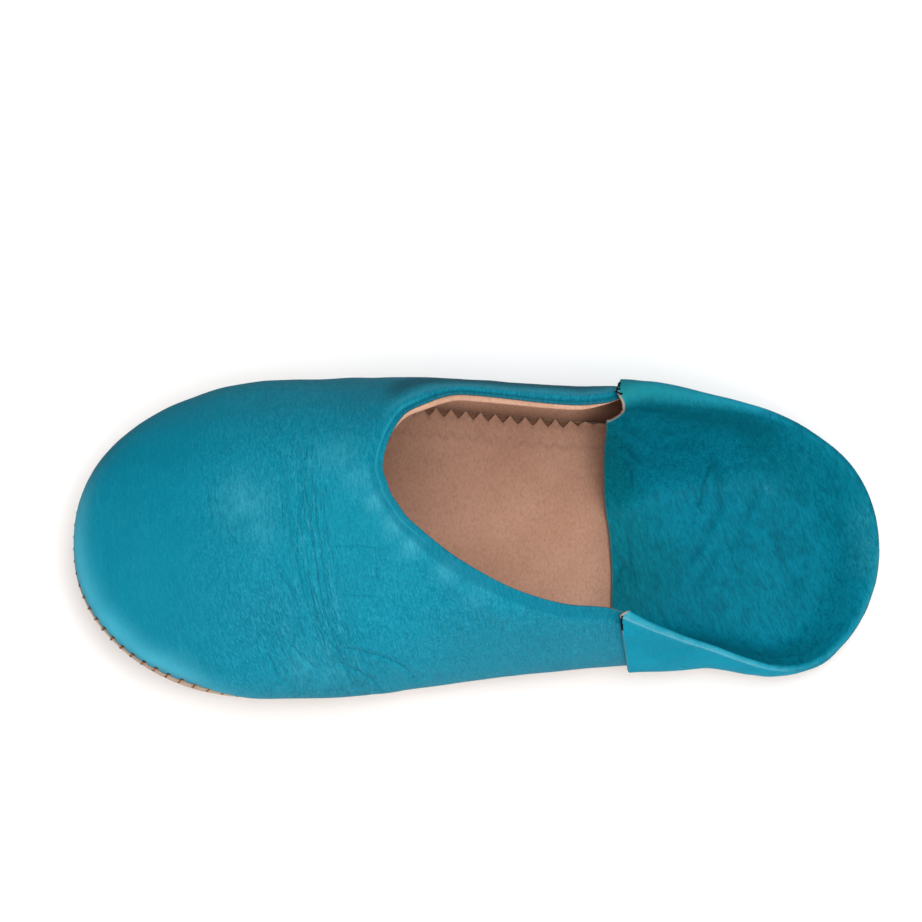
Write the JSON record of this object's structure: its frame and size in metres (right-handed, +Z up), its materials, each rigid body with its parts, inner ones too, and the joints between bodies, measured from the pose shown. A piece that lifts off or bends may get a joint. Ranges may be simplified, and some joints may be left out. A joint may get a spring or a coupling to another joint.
{
  "type": "babouche slipper",
  "caption": "Soft leather babouche slipper for a right foot: turquoise upper open at the throat, heel piece trodden flat over the insole, tan dished sole.",
  "frame": {"origin": "on the floor under the middle of the slipper's bounding box", "axes": "+X towards the toe, +Y towards the inner side of the foot, +Z up from the floor the sole stands on"},
  "size_m": [0.2654, 0.11, 0.0744],
  "materials": {
    "sole_leather": "natural tan, matte",
    "insole_leather": "natural tan, fine grain",
    "upper_leather": "dyed turquoise, soft sheen",
    "counter_leather": "dyed teal, rubbed matte"
  },
  "bodies": {
    "root": {"sole": "sole_leather", "insole": "insole_leather", "upper": "upper_leather", "heel_counter": "counter_leather"}
  },
  "joints": []
}
